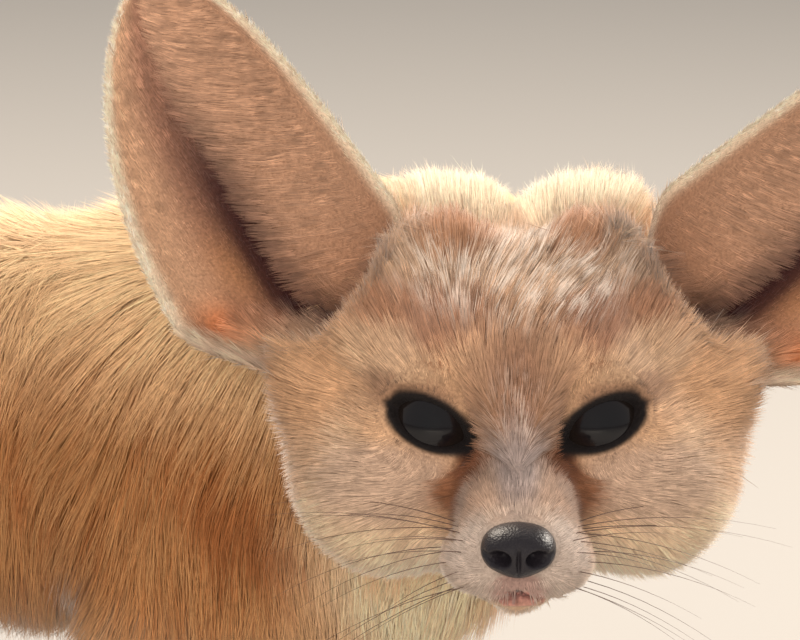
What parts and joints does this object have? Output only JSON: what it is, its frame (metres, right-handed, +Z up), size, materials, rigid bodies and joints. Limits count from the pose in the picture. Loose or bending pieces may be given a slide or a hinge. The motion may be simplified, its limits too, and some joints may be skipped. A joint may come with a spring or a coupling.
{
  "type": "fennec fox",
  "caption": "Standing fennec fox at life size with large cupped ears, head turned to its right at the level of its back, and a bushy dark-tipped tail.",
  "frame": {"origin": "on the floor, under the middle of the object's bounding box", "axes": "+X the way the body faces, +Y the fox's left, +Z up; the head is turned 65 degrees to the fox's right"},
  "size_m": [0.5288, 0.1448, 0.2566],
  "materials": {
    "sand_coat": "dense soft sandy fur",
    "pale_coat": "short cream fur",
    "ear_skin": "thin skin with short pale fur",
    "dark_coat": "dark brown fur",
    "nose_leather": "moist, finely pebbled",
    "eye": "wet and glossy"
  },
  "bodies": {
    "root": {"head": "sand_coat", "nose": "nose_leather", "eye_left": "eye", "eye_right": "eye", "ear_left": "ear_skin", "ear_right": "ear_skin", "neck": "sand_coat", "torso": "sand_coat", "tail": "sand_coat", "tail_tip": "dark_coat", "fore_leg_left": "sand_coat", "fore_leg_right": "sand_coat", "hind_leg_left": "sand_coat", "hind_leg_right": "sand_coat", "fore_paw_left": "pale_coat", "fore_paw_right": "pale_coat", "hind_paw_left": "pale_coat", "hind_paw_right": "pale_coat"}
  },
  "joints": []
}
